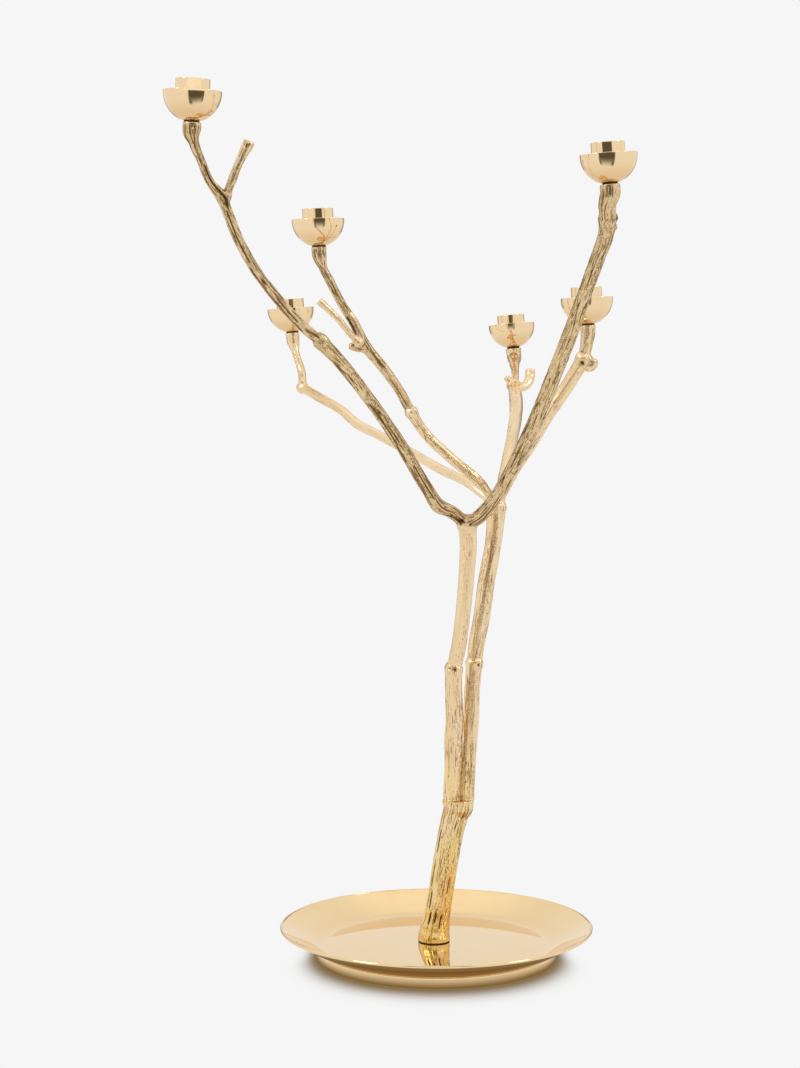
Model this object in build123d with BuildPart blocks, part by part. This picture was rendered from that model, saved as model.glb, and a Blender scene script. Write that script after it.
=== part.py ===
from build123d import *
import math
import os

# Tabletop candelabra: a tree of cast-brass limbs stands on a footed brass tray and carries
# six candle cups, each screwed onto a stud in the end of a limb.
# Frame: millimetres, +Z up, +X right, +Y to the back. The origin is the centre of the
# underside, where the felt meets the table.

# Tray and foot
tray_radius = 140.0
rim_height = 29.4
rim_thickness = 2.4
floor_radius = 104.0
floor_height = 14.0      # in the middle
floor_crown = 2.2        # the floor falls this much from the trunk's seat to its edge
seat_radius = 18.0       # flat middle that the trunk stands on
floor_thickness = 4.0
foot_radius = 107.5
foot_wall = 4.5
foot_lift = 0.6          # the felt stands this far below the foot ring
felt_thickness = 1.8
felt_radius = 102.0
ballast_radius = 100.0

# Base screw, which holds the trunk to the tray from below
screw_radius = 4.0
screw_head_radius = 6.5
screw_head_height = 3.6
screw_engagement = 20.0  # how far it goes into the trunk
base_washer_radius = 8.5
base_washer_thickness = 1.5
counterbore_radius = 9.0
counterbore_web = 2.5    # ballast left above the counterbore

# Candle cup, along its own axis, with the bowl's rim at height 0
bore_radius = 11.6       # a 22 to 23 mm taper candle stands in it
bore_floor = -12.0
collar_radius = 13.6
collar_top = 9.0
collar_base = -14.0
collar_lead = 0.5        # small bevels at the collar's mouth
bowl_radius = 23.0
bowl_wall = 2.4
bowl_drop = 1.3          # the bowl's sphere is centred this far below the rim
bowl_depth = 23.2        # rim to the flat underneath
boss_radius = 9.0
spigot_radius = 5.0
spigot_length = 2.0
washer_thickness = 1.2
washer_radius = 6.1
washer_hole = 3.3

# Stud that the cup screws onto
stud_radius = 3.0
stud_rise = 6.0          # thread inside the bowl's boss
stud_sink = 9.0          # thread inside the limb's end
fit_gap = 0.05           # radial clearance of studs, pegs and the seats between limbs

section_spacing = 9.0    # between the sections that a limb's surface passes through

# Pegs that join one limb to the next
peg_depth = 4.0
peg_share = 0.45         # peg radius as a share of the limb's first radius

# Each cup: rim centre x, y, z, lean to the right and to the back in degrees, limb end radius
cups = {
    "front_left": (-193, -235, 747, 2.5, 0, 7.0),
    "mid_left": (-104, -4, 657, -2, 0, 6.7),
    "rear_left": (-141, 285, 580, -4, 0, 6.8),
    "rear_right": (79, 310, 564, -5, 3, 7.8),
    "mid_right": (131, 2, 589, -2.5, 0, 6.9),
    "front_right": (132, -200, 701, -4, 0, 8.0),
}

# Knots where limbs meet: x, y, z, radius
knots = {
    "front_step": (15, -6, 262, 7.8),
    "rear_step": (34, 16, 264, 7.8),
    "front_fork": (26, -15, 391, 8.6),
    "rear_fork": (54, 33, 402, 10.5),
    "front_left_knee": (-98, -132, 552.5, 6.4),
    "front_left_fork": (-169.5, -208, 667, 4.8),
    "mid_left_knee": (-22.6, 20, 487.8, 5.8),
    "mid_left_fork": (-69, 4, 549.5, 5.2),
    "rear_left_elbow": (-128.3, 260, 502, 6),
    "rear_right_knot": (79, 245, 504, 7.2),
    "mid_right_knot": (129, 5, 535.5, 7.2),
    "front_right_knot": (133.3, -185, 650.8, 7.5),
}

# Each limb: the knot it grows from, the knots it carries, and its stations (x, y, z, radius).
# A limb whose name ends in _tip runs on to its cup.
limbs = {
    "lower_trunk": (None, (), [
        (-2, 3, 14, 14), (-2, 3, 18, 14), (-1, 3, 26, 13), (1, 2, 38, 11.4), (4, 2, 58, 11),
        (8.6, 1, 88, 11.1), (13.3, 0, 115, 11.3), (16.8, 0, 129, 11.8), (19.2, 0, 137, 13.7),
        (19.2, 0, 143, 13.8),
    ]),
    "front_stem_lower": (None, ("front_step",), [
        (14, -1, 143, 7.4), (14, -1, 149, 7.8), (15, -2, 171, 8), (15, -3, 198, 8), (16, -3, 216, 8),
        (15, -5, 243, 7.6), (15, -6, 262, 7.4),
    ]),
    "front_stem_upper": ("front_step", ("front_fork",), [
        (15, -6, 262, 6.4), (18, -7, 275, 6.8), (22.3, -9, 305, 6.6), (25.6, -11, 341, 6.8),
        (27.3, -14, 377, 7.5), (26.3, -15, 391, 8),
    ]),
    "rear_stem_lower": (None, ("rear_step",), [
        (28, 0, 143, 5.6), (28, 0, 149, 5.8), (29, 1, 168, 5.8), (30, 4, 195, 6.2), (31, 7, 213, 6.8),
        (32, 12, 240, 7), (34, 16, 264, 7.2),
    ]),
    "rear_stem_upper": ("rear_step", ("rear_fork",), [
        (34, 16, 264, 7), (36, 18, 281, 7.4), (40, 20, 302, 7.5), (45, 24, 337, 7.4), (51.3, 29, 373, 7.4),
        (54, 33, 402, 8.2),
    ]),
    "front_left_bough": ("front_fork", ("front_left_knee",), [
        (26, -15, 391, 5), (12.5, -22, 402.3, 5.6), (1.2, -30, 408.2, 6.1), (-8, -38, 422.3, 5.3),
        (-33.4, -66, 465.8, 5.2), (-58.8, -92, 503.5, 5.1), (-80.5, -115, 533, 5.3), (-98, -132, 552.5, 6),
    ]),
    "front_left_tip": ("front_left_knee", ("front_left_fork",), [
        (-98, -132, 552.5, 4.1), (-116.2, -148, 568.6, 4.2), (-132.6, -162, 588, 4.1),
        (-150.8, -180, 613.7, 4), (-162.1, -193, 636.4, 4), (-169, -204, 656, 4),
        (-172.4, -209, 665.3, 4.5), (-181.7, -217, 678.6, 3.2), (-188.1, -225, 694.9, 3.1),
        (-192.4, -231, 706.3, 3.9),
    ]),
    "front_left_twig": ("front_left_fork", (), [
        (-169.5, -208, 667, 3), (-165.5, -210, 677, 3.2), (-159.8, -212, 691, 3.3),
        (-150.8, -214, 709.3, 4.1),
    ]),
    "mid_left_bough": ("rear_fork", ("mid_left_knee",), [
        (54, 33, 402, 3.6), (39.8, 27, 423.3, 4.5), (12.2, 24, 447.1, 4.7), (-13.6, 22, 473.2, 4.6),
        (-22.6, 20, 487.8, 4.8),
    ]),
    "mid_left_tip": ("mid_left_knee", ("mid_left_fork",), [
        (-22.6, 20, 487.8, 4.4), (-34.7, 17, 509.5, 4.3), (-47.8, 14, 527.6, 4.5), (-62.6, 10, 546, 4.7),
        (-73, 6, 566.5, 4.1), (-85.4, 3, 586.8, 3.7), (-93.4, 0, 602.3, 3.7), (-99.3, -2, 613.3, 3.5),
    ]),
    "mid_left_twig": ("mid_left_fork", (), [
        (-69, 4, 549.5, 2.6), (-77.5, -1, 558.5, 2.8), (-85.4, -4, 568.6, 3), (-102.8, -10, 585.7, 3.3),
    ]),
    "rear_left_bough": ("rear_fork", ("rear_left_elbow",), [
        (54, 33, 402, 3.6), (33.7, 52, 419.2, 4.3), (4.3, 90, 432.5, 4.3), (-24.7, 130, 446.6, 4.3),
        (-52.5, 163, 460, 4.3), (-72.8, 187, 468.9, 4.6), (-88.9, 208, 481.5, 4.4),
        (-109.3, 234, 492.1, 4.6), (-128.3, 260, 502, 4.6),
    ]),
    "rear_left_tip": ("rear_left_elbow", (), [
        (-128.3, 260, 502, 3.8), (-129.8, 273, 517, 3.9), (-135.7, 280, 535.5, 3.6),
    ]),
    "rear_right_bough": ("rear_fork", ("rear_right_knot",), [
        (54, 33, 402, 3.8), (61.7, 62, 427.8, 4.9), (71.3, 122, 456.8, 5.8), (79.3, 208, 489.8, 6.6),
        (79, 245, 504, 6.2),
    ]),
    "rear_right_tip": ("rear_right_knot", (), [
        (79, 245, 504, 4), (81.3, 268, 514, 3.6), (81.5, 281, 519.5, 3.8), (81.4, 291, 524.5, 5),
    ]),
    "rear_right_stub": ("rear_right_knot", (), [
        (79, 245, 503, 3.6), (88, 248, 503, 4.3), (93.3, 253, 507.5, 4.7), (95.3, 258, 514, 4.8),
        (95.6, 259, 520.5, 4.6),
    ]),
    "mid_right_bough": ("rear_fork", ("mid_right_knot",), [
        (54, 33, 402, 3.8), (67.7, 28, 433.6, 5.6), (84.4, 23, 461.2, 6.3), (100.4, 16, 489.2, 6.3),
        (113.9, 11, 509.4, 6.1), (129, 5, 535.5, 6),
    ]),
    "mid_right_tip": ("mid_right_knot", (), [
        (129, 5, 535.5, 4.9), (131.4, 3, 549, 5.6),
    ]),
    "front_right_bough": ("front_fork", ("front_right_knot",), [
        (26, -15, 391, 5), (36, -20, 397.5, 6.2), (46.3, -26, 409, 5.8), (63, -42, 439.5, 5.6),
        (79.6, -62, 475.8, 6.2), (96, -88, 520.6, 6.4), (109.3, -112, 559, 6.3), (119.1, -136, 591.6, 5.8),
        (127.5, -158, 619.5, 5.9), (132.8, -175, 638.5, 6.3), (133.3, -185, 650.8, 6.5),
    ]),
    "front_right_tip": ("front_right_knot", (), [
        (133.3, -185, 650.8, 6.5), (132.3, -195, 663.1, 7),
    ]),
}

# Short cut-off side shoots that are cast with their limb
spurs = {
    "mid_left_tip": [[(-63, 10, 544.5, 3.8), (-70.5, 9, 545, 3.7), (-77.3, 8, 546.6, 3.5)]],
    "rear_right_bough": [[(79, 245, 504, 3.4), (74, 242, 509, 3.3), (71, 240, 513, 3.2)]],
    "mid_right_bough": [[(128.5, 5, 531.5, 5.2), (134.8, 4, 529, 5.2), (138.2, 3, 535.5, 4.4)]],
    "front_left_bough": [[(-97, -130, 549, 4), (-98.8, -128.5, 554, 3.8), (-100, -127, 559.3, 3.1)]],
    "front_right_bough": [[(132.5, -176, 640, 3), (137.5, -178, 643, 2.9), (140.7, -180, 645.5, 2.6)]],
}


def cup_axis(cup):
    right, back = cups[cup][3:5]
    return Vector(math.tan(math.radians(right)), math.tan(math.radians(back)), 1).normalized()


def on_cup_axis(cup, height):
    return Vector(*cups[cup][:3]) + cup_axis(cup) * height


def cup_section(cup):
    """A plane through the cup's axis: its x is the radius and its y the height above the rim."""
    along = cup_axis(cup)
    outward = (Vector(1, 0, 0) - along * along.X).normalized()
    return Plane(origin=on_cup_axis(cup, 0), x_dir=outward, z_dir=outward.cross(along))


def turned(cup, outline):
    """A solid of revolution about the cup's axis. outline draws the closed half section."""
    with BuildPart() as piece:
        with BuildSketch(cup_section(cup)):
            with BuildLine():
                outline()
            make_face()
        revolve(axis=Axis(on_cup_axis(cup, 0), cup_axis(cup)))
    return piece


limb_end = -bowl_depth - washer_thickness        # height of a limb's end face below the rim
bowl_flat_radius = math.sqrt(bowl_radius**2 - (bowl_depth - bowl_drop)**2)
bowl_inner_radius = bowl_radius - bowl_wall


def sphere_point(radius, angle):
    """A point of the bowl's section, at an angle below the horizontal."""
    return (radius * math.cos(math.radians(angle)), -bowl_drop - radius * math.sin(math.radians(angle)))


def bowl_outline():
    rim_out = (math.sqrt(bowl_radius**2 - bowl_drop**2), 0)
    rim_in = (math.sqrt(bowl_inner_radius**2 - bowl_drop**2), 0)
    boss_foot = (boss_radius, -bowl_drop - math.sqrt(bowl_inner_radius**2 - boss_radius**2))
    hole = stud_radius + fit_gap
    hole_top = -bowl_depth + stud_rise + 0.5
    recess = spigot_radius + fit_gap
    recess_floor = collar_base - spigot_length - 0.1
    Polyline((hole, -bowl_depth), (bowl_flat_radius, -bowl_depth))
    ThreePointArc((bowl_flat_radius, -bowl_depth), sphere_point(bowl_radius, 35), rim_out)
    Line(rim_out, rim_in)
    ThreePointArc(rim_in, sphere_point(bowl_inner_radius, 30), boss_foot)
    Polyline(
        boss_foot, (boss_radius, collar_base), (recess, collar_base), (recess, recess_floor),
        (0, recess_floor), (0, hole_top), (hole, hole_top), (hole, -bowl_depth),
    )


def collar_outline():
    Polyline(
        (0, bore_floor), (bore_radius, bore_floor), (bore_radius, collar_top - collar_lead),
        (bore_radius + collar_lead, collar_top), (collar_radius - collar_lead, collar_top),
        (collar_radius, collar_top - collar_lead), (collar_radius, collar_base),
        (spigot_radius, collar_base), (spigot_radius, collar_base - spigot_length),
        (0, collar_base - spigot_length), close=True,
    )


def stud_outline():
    Polyline(
        (0, limb_end - stud_sink), (stud_radius - 0.5, limb_end - stud_sink),
        (stud_radius, limb_end - stud_sink + 0.5), (stud_radius, stud_rise - bowl_depth - 0.5),
        (stud_radius - 0.5, stud_rise - bowl_depth), (0, stud_rise - bowl_depth), close=True,
    )


def washer_outline():
    Polyline(
        (washer_hole, limb_end), (washer_radius, limb_end), (washer_radius, -bowl_depth),
        (washer_hole, -bowl_depth), close=True,
    )


def stations_of(name):
    """A limb's stations. A tip ends square to its cup's axis, under the washer."""
    route = list(limbs[name][2])
    if name.endswith("_tip"):
        cup = name[:-len("_tip")]
        end_radius = cups[cup][5]
        flare, end = on_cup_axis(cup, limb_end - 7), on_cup_axis(cup, limb_end)
        route += [(flare.X, flare.Y, flare.Z, 0.92 * end_radius), (end.X, end.Y, end.Z, end_radius)]
    return route


def blend(start, end, slope_start, slope_end, length, t):
    """A cubic between two values, with the given slopes at its ends; t runs from 0 to 1."""
    bend_start = t * (1 - t)**2 * length
    bend_end = t * t * (t - 1) * length
    ease = t * t * (3 - 2 * t)
    return start + (end - start) * ease + slope_start * bend_start + slope_end * bend_end


def smoothed(route):
    """More stations on a smooth curve through the given ones, about section_spacing apart."""
    points = [Vector(*station[:3]) for station in route]
    runs = [(b - a).length for a, b in zip(points, points[1:])]
    chords = [(b - a) * (1 / run) for a, b, run in zip(points, points[1:], runs)]
    inner = [(a * after + b * before).normalized()
             for a, b, before, after in zip(chords, chords[1:], runs, runs[1:])]
    slopes = [chords[0], *inner, chords[-1]]
    made = []
    for i, run in enumerate(runs):
        steps = max(1, round(run / section_spacing))
        for k in range(steps):
            t = k / steps
            place = blend(points[i], points[i + 1], slopes[i], slopes[i + 1], run, t)
            radius = route[i][3] + (route[i + 1][3] - route[i][3]) * t * t * (3 - 2 * t)
            made.append((place.X, place.Y, place.Z, radius))
    return made + [route[-1]]


def loft_along(stations):
    """A tapering round limb, with planes that turn as little as possible along the route."""
    route = smoothed(stations)
    points = [Vector(*station[:3]) for station in route]
    side = Vector(1, 0, 0)
    sections = []
    for i, point in enumerate(points):
        along = (points[min(i + 1, len(points) - 1)] - points[max(i - 1, 0)]).normalized()
        side = (side - along * side.dot(along)).normalized()
        with BuildSketch(Plane(origin=point, x_dir=side, z_dir=along), mode=Mode.PRIVATE) as section:
            Circle(route[i][3])
        sections.append(section.sketch)
    loft(sections, ruled=True)


def peg_of(name):
    """Where a limb is pegged: the root point, the growing direction and the peg's radius."""
    start, ahead = (Vector(*station[:3]) for station in limbs[name][2][:2])
    growing = (ahead - start).normalized()
    knot = limbs[name][0]
    root = start + growing * knots[knot][3] if knot else start
    return root, growing, peg_share * limbs[name][2][0][3]


def peg_cylinder(name, gap, extra, mode):
    """Adds a limb's peg, or cuts the socket that takes it."""
    root, growing, radius = peg_of(name)
    foot = Plane(origin=root - growing * (peg_depth + gap), z_dir=growing)
    with BuildSketch(foot, mode=Mode.PRIVATE) as section:
        Circle(radius + gap)
    extrude(section.sketch, amount=peg_depth + gap + extra, mode=mode)


def limb(name):
    """One casting: its shaft, knots and spurs, the seat and peg at its root, and its sockets."""
    grows_from, carries, _ = limbs[name]
    with BuildPart() as casting:
        loft_along(stations_of(name))
        if grows_from:
            x, y, z, radius = knots[grows_from]
            with Locations((x, y, z)):
                Sphere(radius + fit_gap, mode=Mode.SUBTRACT)
        for knot in carries:
            x, y, z, radius = knots[knot]
            with Locations((x, y, z)):
                Sphere(radius)
        for spur in spurs.get(name, []):
            loft_along(spur)
        if name in pegged:
            peg_cylinder(name, 0, 2, Mode.ADD)
        for child in pegged:
            if limbs[child][0] in carries or (name == "lower_trunk" and limbs[child][0] is None):
                peg_cylinder(child, fit_gap, 2, Mode.SUBTRACT)
        if name.endswith("_tip"):
            cup = name[:-len("_tip")]
            with BuildSketch(Plane(origin=on_cup_axis(cup, limb_end), z_dir=cup_axis(cup))):
                Circle(stud_radius + fit_gap)
            extrude(amount=-stud_sink - 0.5, mode=Mode.SUBTRACT)
        if name == "lower_trunk":
            with BuildSketch(Plane.XY.offset(floor_height)):
                Circle(screw_radius + fit_gap)
            extrude(amount=screw_engagement + 1, mode=Mode.SUBTRACT)
    return casting


def save(piece, name):
    piece.part.label = name
    export_step(piece.part, f"parts/{name}.step")


# Tray: a turned dish with a slightly domed floor, a sloping wall and a rounded rim
floor_underside = floor_height - floor_thickness
floor_edge = (floor_radius, floor_height - floor_crown)
floor_seat = (seat_radius, floor_height)
with BuildPart() as tray:
    with BuildSketch(Plane.XZ) as tray_section:
        with BuildLine():
            Polyline(
                (screw_radius + 0.5, floor_underside), (foot_radius, floor_underside),
                (tray_radius - 0.6, rim_height - rim_thickness),
            )
            ThreePointArc(
                (tray_radius - 0.6, rim_height - rim_thickness),
                (tray_radius, rim_height - 0.5 * rim_thickness),
                (tray_radius - 1, rim_height),
            )
            ThreePointArc(
                (tray_radius - 1, rim_height),
                (0.5 * (tray_radius - 1 + floor_radius), 0.5 * (rim_height + floor_edge[1]) - 0.5),
                floor_edge,
            )
            ThreePointArc(
                floor_edge,
                (0.5 * (floor_radius + floor_seat[0]), floor_height - 0.25 * floor_crown),
                floor_seat,
            )
            Polyline(
                floor_seat, (screw_radius + 0.5, floor_height), (screw_radius + 0.5, floor_underside),
            )
        make_face()
    revolve(axis=Axis.Z)
save(tray, "tray")

with BuildPart() as foot_ring:
    with BuildSketch(Plane.XY.offset(foot_lift)):
        Circle(foot_radius)
        Circle(foot_radius - foot_wall, mode=Mode.SUBTRACT)
    extrude(amount=floor_underside - foot_lift)
    fillet(foot_ring.edges().filter_by(GeomType.CIRCLE).group_by(Axis.Z)[0], radius=1)
save(foot_ring, "foot_ring")

with BuildPart() as ballast_plate:
    with BuildSketch(Plane.XY.offset(felt_thickness)):
        Circle(ballast_radius)
    extrude(amount=floor_underside - felt_thickness)
    with BuildSketch(Plane.XY.offset(felt_thickness)):
        Circle(counterbore_radius)
    extrude(amount=floor_underside - felt_thickness - counterbore_web, mode=Mode.SUBTRACT)
    with BuildSketch(Plane.XY.offset(felt_thickness)):
        Circle(screw_radius + 0.5)
    extrude(amount=floor_underside, mode=Mode.SUBTRACT)
save(ballast_plate, "ballast_plate")

with BuildPart() as felt_pad:
    with BuildSketch():
        Circle(felt_radius)
    extrude(amount=felt_thickness)
save(felt_pad, "felt_pad")

washer_top = floor_underside - counterbore_web
with BuildPart() as base_washer:
    with BuildSketch(Plane.XY.offset(washer_top)):
        Circle(base_washer_radius)
        Circle(screw_radius + 0.3, mode=Mode.SUBTRACT)
    extrude(amount=-base_washer_thickness)
save(base_washer, "base_washer")

head_top = washer_top - base_washer_thickness
with BuildPart() as base_screw:
    with BuildSketch(Plane.XY.offset(head_top)):
        Circle(screw_head_radius)
    extrude(amount=-screw_head_height)
    with BuildSketch(Plane.XY.offset(head_top)):
        Circle(screw_radius)
    extrude(amount=floor_height + screw_engagement - head_top)
    with BuildSketch(Plane.XY.offset(head_top - screw_head_height)):
        RegularPolygon(radius=2.9, side_count=6)
    extrude(amount=2.2, mode=Mode.SUBTRACT)
save(base_screw, "base_screw")

# The tree
pegged = [name for name in limbs if name != "lower_trunk"]
for name in limbs:
    save(limb(name), name)

# The candle cups
for cup in cups:
    save(turned(cup, bowl_outline), f"{cup}_bowl")
    save(turned(cup, collar_outline), f"{cup}_socket")
    save(turned(cup, stud_outline), f"{cup}_stud")
    save(turned(cup, washer_outline), f"{cup}_washer")
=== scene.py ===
import math

import bpy
import numpy as np
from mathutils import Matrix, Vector


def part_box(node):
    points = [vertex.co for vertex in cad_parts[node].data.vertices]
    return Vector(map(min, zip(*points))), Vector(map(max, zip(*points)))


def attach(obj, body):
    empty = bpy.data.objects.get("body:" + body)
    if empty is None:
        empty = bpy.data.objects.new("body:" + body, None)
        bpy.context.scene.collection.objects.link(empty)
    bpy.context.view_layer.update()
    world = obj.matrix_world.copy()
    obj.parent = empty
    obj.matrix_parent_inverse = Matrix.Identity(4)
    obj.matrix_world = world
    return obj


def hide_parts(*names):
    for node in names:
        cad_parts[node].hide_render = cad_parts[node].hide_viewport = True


# The looks of a tabletop candelabra: a tree of cast-brass limbs with a bark relief, on a
# mirror-polished tray, with six turned candle cups. All lengths are in metres.

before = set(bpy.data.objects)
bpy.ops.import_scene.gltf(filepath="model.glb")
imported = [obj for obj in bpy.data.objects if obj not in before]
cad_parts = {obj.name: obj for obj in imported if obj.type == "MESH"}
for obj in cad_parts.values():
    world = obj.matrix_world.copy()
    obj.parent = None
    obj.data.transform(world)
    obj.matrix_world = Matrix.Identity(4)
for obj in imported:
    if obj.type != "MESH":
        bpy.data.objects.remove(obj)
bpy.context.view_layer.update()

# ---------------- driving dimensions

# Each cup: rim centre x, y, z, lean to the right and to the back in degrees, limb end radius
cups = {
    "front_left": (-0.193, -0.235, 0.747, 2.5, 0, 0.007),
    "mid_left": (-0.104, -0.004, 0.657, -2, 0, 0.0067),
    "rear_left": (-0.141, 0.285, 0.58, -4, 0, 0.0068),
    "rear_right": (0.079, 0.31, 0.564, -5, 3, 0.0078),
    "mid_right": (0.131, 0.002, 0.589, -2.5, 0, 0.0069),
    "front_right": (0.132, -0.2, 0.701, -4, 0, 0.008),
}

# Knots where limbs meet: x, y, z, radius. Some look smaller than their CAD knots, because the bark
# runs smoothly over them
knots = {
    "front_step": (0.015, -0.006, 0.262, 0.0078),
    "rear_step": (0.034, 0.016, 0.264, 0.0078),
    "front_fork": (0.026, -0.015, 0.391, 0.0086),
    "rear_fork": (0.054, 0.033, 0.402, 0.0088),
    "front_left_knee": (-0.098, -0.132, 0.5525, 0.0064),
    "front_left_fork": (-0.1695, -0.208, 0.667, 0.0044),
    "mid_left_knee": (-0.0226, 0.02, 0.4878, 0.0058),
    "mid_left_fork": (-0.069, 0.004, 0.5495, 0.0048),
    "rear_left_elbow": (-0.1283, 0.26, 0.502, 0.006),
    "rear_right_knot": (0.079, 0.245, 0.504, 0.0072),
    "mid_right_knot": (0.129, 0.005, 0.5355, 0.0072),
    "front_right_knot": (0.1333, -0.185, 0.6508, 0.0075),
}

# Each limb's stations: x, y, z, radius. A limb whose name ends in _tip runs on to its cup.
limbs = {
    "lower_trunk": [
        (-0.002, 0.003, 0.014, 0.014), (-0.002, 0.003, 0.018, 0.014), (-0.001, 0.003, 0.026, 0.013),
        (0.001, 0.002, 0.038, 0.0114), (0.004, 0.002, 0.058, 0.011), (0.0086, 0.001, 0.088, 0.0111),
        (0.0133, 0, 0.115, 0.0113), (0.0168, 0, 0.129, 0.0118), (0.0192, 0, 0.137, 0.0137),
        (0.0192, 0, 0.143, 0.0138),
    ],
    "front_stem_lower": [
        (0.014, -0.001, 0.143, 0.0074), (0.014, -0.001, 0.149, 0.0078), (0.015, -0.002, 0.171, 0.008),
        (0.015, -0.003, 0.198, 0.008), (0.016, -0.003, 0.216, 0.008), (0.015, -0.005, 0.243, 0.0076),
        (0.015, -0.006, 0.262, 0.0074),
    ],
    "front_stem_upper": [
        (0.015, -0.006, 0.262, 0.0064), (0.018, -0.007, 0.275, 0.0068), (0.0223, -0.009, 0.305, 0.0066),
        (0.0256, -0.011, 0.341, 0.0068), (0.0273, -0.014, 0.377, 0.0075), (0.0263, -0.015, 0.391, 0.008),
    ],
    "rear_stem_lower": [
        (0.028, 0, 0.143, 0.0056), (0.028, 0, 0.149, 0.0058), (0.029, 0.001, 0.168, 0.0058),
        (0.03, 0.004, 0.195, 0.0062), (0.031, 0.007, 0.213, 0.0068), (0.032, 0.012, 0.24, 0.007),
        (0.034, 0.016, 0.264, 0.0072),
    ],
    "rear_stem_upper": [
        (0.034, 0.016, 0.264, 0.007), (0.036, 0.018, 0.281, 0.0074), (0.04, 0.02, 0.302, 0.0075),
        (0.045, 0.024, 0.337, 0.0074), (0.0513, 0.029, 0.373, 0.0074), (0.054, 0.033, 0.402, 0.0082),
    ],
    "front_left_bough": [
        (0.026, -0.015, 0.391, 0.005), (0.0125, -0.022, 0.4023, 0.0056), (0.0012, -0.03, 0.4082, 0.0061),
        (-0.008, -0.038, 0.4223, 0.0053), (-0.0334, -0.066, 0.4658, 0.0052),
        (-0.0588, -0.092, 0.5035, 0.0051), (-0.0805, -0.115, 0.533, 0.0053),
        (-0.098, -0.132, 0.5525, 0.006),
    ],
    "front_left_tip": [
        (-0.098, -0.132, 0.5525, 0.0041), (-0.1162, -0.148, 0.5686, 0.0042),
        (-0.1326, -0.162, 0.588, 0.0041), (-0.1508, -0.18, 0.6137, 0.004), (-0.1621, -0.193, 0.6364, 0.004),
        (-0.169, -0.204, 0.656, 0.004), (-0.1724, -0.209, 0.6653, 0.0045),
        (-0.1817, -0.217, 0.6786, 0.0032), (-0.1881, -0.225, 0.6949, 0.0031),
        (-0.1924, -0.231, 0.7063, 0.0039),
    ],
    "front_left_twig": [
        (-0.1695, -0.208, 0.667, 0.003), (-0.1655, -0.21, 0.677, 0.0032), (-0.1598, -0.212, 0.691, 0.0033),
        (-0.1508, -0.214, 0.7093, 0.0041),
    ],
    "mid_left_bough": [
        (0.054, 0.033, 0.402, 0.0036), (0.0398, 0.027, 0.4233, 0.0045), (0.0122, 0.024, 0.4471, 0.0047),
        (-0.0136, 0.022, 0.4732, 0.0046), (-0.0226, 0.02, 0.4878, 0.0048),
    ],
    "mid_left_tip": [
        (-0.0226, 0.02, 0.4878, 0.0044), (-0.0347, 0.017, 0.5095, 0.0043), (-0.0478, 0.014, 0.5276, 0.0045),
        (-0.0626, 0.01, 0.546, 0.0047), (-0.073, 0.006, 0.5665, 0.0041), (-0.0854, 0.003, 0.5868, 0.0037),
        (-0.0934, 0, 0.6023, 0.0037), (-0.0993, -0.002, 0.6133, 0.0035),
    ],
    "mid_left_twig": [
        (-0.069, 0.004, 0.5495, 0.0026), (-0.0775, -0.001, 0.5585, 0.0028),
        (-0.0854, -0.004, 0.5686, 0.003), (-0.1028, -0.01, 0.5857, 0.0033),
    ],
    "rear_left_bough": [
        (0.054, 0.033, 0.402, 0.0036), (0.0337, 0.052, 0.4192, 0.0043), (0.0043, 0.09, 0.4325, 0.0043),
        (-0.0247, 0.13, 0.4466, 0.0043), (-0.0525, 0.163, 0.46, 0.0043), (-0.0728, 0.187, 0.4689, 0.0046),
        (-0.0889, 0.208, 0.4815, 0.0044), (-0.1093, 0.234, 0.4921, 0.0046), (-0.1283, 0.26, 0.502, 0.0046),
    ],
    "rear_left_tip": [
        (-0.1283, 0.26, 0.502, 0.0038), (-0.1298, 0.273, 0.517, 0.0039), (-0.1357, 0.28, 0.5355, 0.0036),
    ],
    "rear_right_bough": [
        (0.054, 0.033, 0.402, 0.0038), (0.0617, 0.062, 0.4278, 0.0049), (0.0713, 0.122, 0.4568, 0.0058),
        (0.0793, 0.208, 0.4898, 0.0066), (0.079, 0.245, 0.504, 0.0062),
    ],
    "rear_right_tip": [
        (0.079, 0.245, 0.504, 0.004), (0.0813, 0.268, 0.514, 0.0036), (0.0815, 0.281, 0.5195, 0.0038),
        (0.0814, 0.291, 0.5245, 0.005),
    ],
    "rear_right_stub": [
        (0.079, 0.245, 0.503, 0.0036), (0.088, 0.248, 0.503, 0.0043), (0.0933, 0.253, 0.5075, 0.0047),
        (0.0953, 0.258, 0.514, 0.0048), (0.0956, 0.259, 0.5205, 0.0046),
    ],
    "mid_right_bough": [
        (0.054, 0.033, 0.402, 0.0038), (0.0677, 0.028, 0.4336, 0.0056), (0.0844, 0.023, 0.4612, 0.0063),
        (0.1004, 0.016, 0.4892, 0.0063), (0.1139, 0.011, 0.5094, 0.0061), (0.129, 0.005, 0.5355, 0.006),
    ],
    "mid_right_tip": [(0.129, 0.005, 0.5355, 0.0049), (0.1314, 0.003, 0.549, 0.0056)],
    "front_right_bough": [
        (0.026, -0.015, 0.391, 0.005), (0.036, -0.02, 0.3975, 0.0062), (0.0463, -0.026, 0.409, 0.0058),
        (0.063, -0.042, 0.4395, 0.0056), (0.0796, -0.062, 0.4758, 0.0062), (0.096, -0.088, 0.5206, 0.0064),
        (0.1093, -0.112, 0.559, 0.0063), (0.1191, -0.136, 0.5916, 0.0058), (0.1275, -0.158, 0.6195, 0.0059),
        (0.1328, -0.175, 0.6385, 0.0063), (0.1333, -0.185, 0.6508, 0.0065),
    ],
    "front_right_tip": [(0.1333, -0.185, 0.6508, 0.0065), (0.1323, -0.195, 0.6631, 0.007)],
}

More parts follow.
